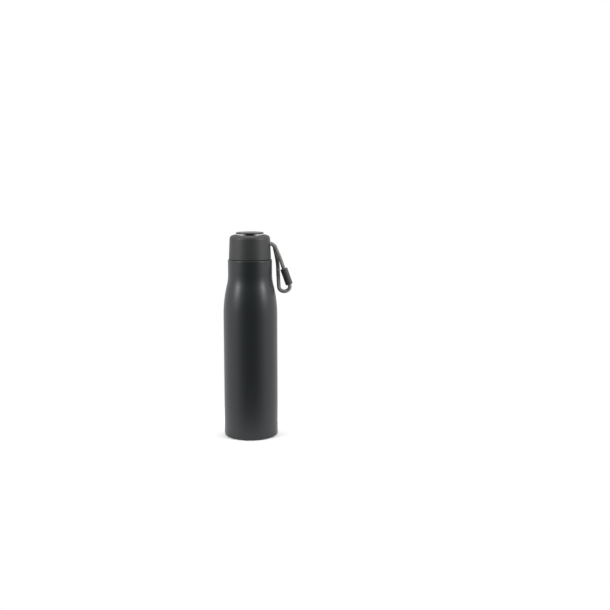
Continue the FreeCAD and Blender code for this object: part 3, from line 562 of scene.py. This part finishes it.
yarn, tree, _ = new_material("braided_polyester")
run = add(tree, "ShaderNodeSeparateXYZ", {"Vector": add(tree, "ShaderNodeTexCoord").outputs["UV"]})
round_it = run.outputs["Y"]
ridge_angle = add(tree, "ShaderNodeMath", {0: round_it, 1: 2 * math.pi * YARNS_ROUND}, operation="MULTIPLY")
wave = add(tree, "ShaderNodeMath", {0: ridge_angle}, operation="SINE")
ridge = add(tree, "ShaderNodeMath", {0: wave, 1: 0.5, 2: 0.5}, operation="MULTIPLY_ADD")
along = add(tree, "ShaderNodeMath", {0: run.outputs["X"], 1: cord_length / MM / FILAMENT_LENGTH},
            operation="MULTIPLY")
across = add(tree, "ShaderNodeMath", {0: round_it, 1: FILAMENTS_ROUND}, operation="MULTIPLY")
lengthwise = add(tree, "ShaderNodeCombineXYZ", {"X": along, "Y": across})
filaments = add(tree, "ShaderNodeTexNoise", {"Vector": lengthwise, "Scale": 1.0, "Detail": 2.0})

# %% The yarn's colour, with painted shade in its grooves, and its relief
# The colour is darker in the grooves between yarns and filaments and lighter on their crests: painted shade
# that follows the relief.
painted_groove_shade = add(tree, "ShaderNodeMath", {0: ridge, 1: filaments}, operation="MULTIPLY")
tone = add(tree, "ShaderNodeMix", {"Factor": painted_groove_shade, "A": linear("#6e6e6c"), "B": linear("#d0cfc9")},
           data_type="RGBA")
ridge_height = add(tree, "ShaderNodeMath", {0: ridge, 1: YARN_DEPTH}, operation="MULTIPLY")
height = add(tree, "ShaderNodeMath", {0: filaments, 1: FILAMENT_DEPTH, 2: ridge_height},
             operation="MULTIPLY_ADD")
surface(tree, height, {"Base Color": tone, "Roughness": between(tree, filaments, 0.50, 0.70),
                       "Sheen Weight": 0.25, "Sheen Roughness": 0.4})
paint(yarn, braid)

# %% Dark filling inside the braid
LUMP_SIZE = 0.5
LUMP_DEPTH = 0.05

filling, tree, place = new_material("cord_filling")
lumps = add(tree, "ShaderNodeTexNoise", {"Vector": place, "Scale": per_metre(LUMP_SIZE), "Detail": 2.0})
height = add(tree, "ShaderNodeMath", {0: lumps, 1: LUMP_DEPTH}, operation="MULTIPLY")
tone = add(tree, "ShaderNodeMix", {"Factor": lumps, "A": linear("#2b2b2a"), "B": linear("#454543")},
           data_type="RGBA")
surface(tree, height, {"Base Color": tone, "Roughness": 0.8})
paint(filling, core)


# %% [markdown]
# ## Floor, sky and lamps
#
# The flask stands on a pale floor that fades into a white surround. A dark bottle shows its shape by what
# it mirrors. So the surround is dark straight in front and bright from the sides round to the back, which
# keeps the middle of the body dark and lights its edges, while the camera itself sees plain white. Two tall
# soft lamps leave a soft upright highlight on each side, strongest at the shoulder, and a third, high up
# and a little behind, lights the cap's top. The floor is small, because a large one would be mirrored in
# the foot of the flask and make it pale.

# %% Floor
FLOOR_RADIUS = 200 * MM
FLOOR_CORNERS = 96
FADE_START = 0.14
FADE_END = 0.98

floor_mesh = bmesh.new()
bmesh.ops.create_circle(floor_mesh, cap_ends=True, segments=FLOOR_CORNERS, radius=FLOOR_RADIUS)
floor_data = bpy.data.meshes.new("floor")
floor_mesh.to_mesh(floor_data)
floor_mesh.free()
floor = bpy.data.objects.new("floor", floor_data)
bpy.context.scene.collection.objects.link(floor)
print("floor radius", round(FLOOR_RADIUS / MM), "mm")

# %% Pale paper that fades out
floor_paper, tree, place = new_material("pale_paper")
away = add(tree, "ShaderNodeVectorMath", {0: place}, operation="LENGTH").outputs["Value"]
fade = add(tree, "ShaderNodeMapRange",
           {"Value": away, "From Min": FADE_START * FLOOR_RADIUS, "From Max": FADE_END * FLOOR_RADIUS},
           interpolation_type="SMOOTHSTEP")
paper = add(tree, "ShaderNodeBsdfDiffuse", {"Color": linear("#f4f4f3")})
clear = add(tree, "ShaderNodeBsdfTransparent")
blend = add(tree, "ShaderNodeMixShader", {0: fade, 1: paper, 2: clear})
add(tree, "ShaderNodeOutputMaterial", {"Surface": blend})
paint(floor_paper, floor)

# %% Surround
# A direction's Y is -1 straight in front of the flask, 0 at its sides and 1 behind it.
SKY_SEEN = 1.0
SKY_FRONT = 0.02
SKY_BEHIND = 1.0
DARK_TO_Y = -0.95
BRIGHT_FROM_Y = -0.3

world = bpy.data.worlds.new("surround")
world.use_nodes = True
tree = world.node_tree
tree.nodes.clear()
direction = add(tree, "ShaderNodeTexCoord").outputs["Generated"]
backwards = add(tree, "ShaderNodeSeparateXYZ", {"Vector": direction}).outputs["Y"]
glow = add(tree, "ShaderNodeMapRange", {"Value": backwards, "From Min": DARK_TO_Y, "From Max": BRIGHT_FROM_Y,
                                        "To Min": SKY_FRONT, "To Max": SKY_BEHIND},
           interpolation_type="SMOOTHSTEP")
seen = add(tree, "ShaderNodeLightPath").outputs["Is Camera Ray"]
strength = add(tree, "ShaderNodeMix", {"Factor": seen, "A": glow, "B": SKY_SEEN})
sky = add(tree, "ShaderNodeBackground", {"Color": (1, 1, 1, 1), "Strength": strength})
add(tree, "ShaderNodeOutputWorld", {"Surface": sky})
bpy.context.scene.world = world
print("surround", SKY_FRONT, "in front,", SKY_BEHIND, "behind, and", SKY_SEEN, "to the camera")

# %% Lamps
LAMPS = (
    # name, heading in degrees, then distance, height, width and length in mm, then power in W
    ("lamp_left", -64, 1100, 720, 300, 700, 9),
    ("lamp_right", 66, 1100, 720, 300, 700, 9),
    ("lamp_top", 180, 300, 1300, 700, 700, 4),
)
LAMP_AIM = Vector((0, 0, 150)) * MM


def soft_lamp(name, heading_degrees, distance, height, width, length, power):
    """A soft lamp aimed at the flask. Its heading is the angle from the flask's front, to the right."""
    data = bpy.data.lights.new(name, "AREA")
    data.shape = "RECTANGLE"
    data.size, data.size_y = width * MM, length * MM
    data.energy = power
    lamp = bpy.data.objects.new(name, data)
    heading = math.radians(heading_degrees)
    lamp.location = Vector((math.sin(heading) * distance, -math.cos(heading) * distance, height)) * MM
    lamp.rotation_euler = (LAMP_AIM - lamp.location).to_track_quat("-Z", "Y").to_euler()
    bpy.context.scene.collection.objects.link(lamp)
    print(name, "at", [round(x, 2) for x in lamp.location])


for lamp in LAMPS:
    soft_lamp(*lamp)

# %% Show colours as they are chosen, without a film look
bpy.context.scene.view_settings.view_transform = "Standard"
print("view transform", bpy.context.scene.view_settings.view_transform)
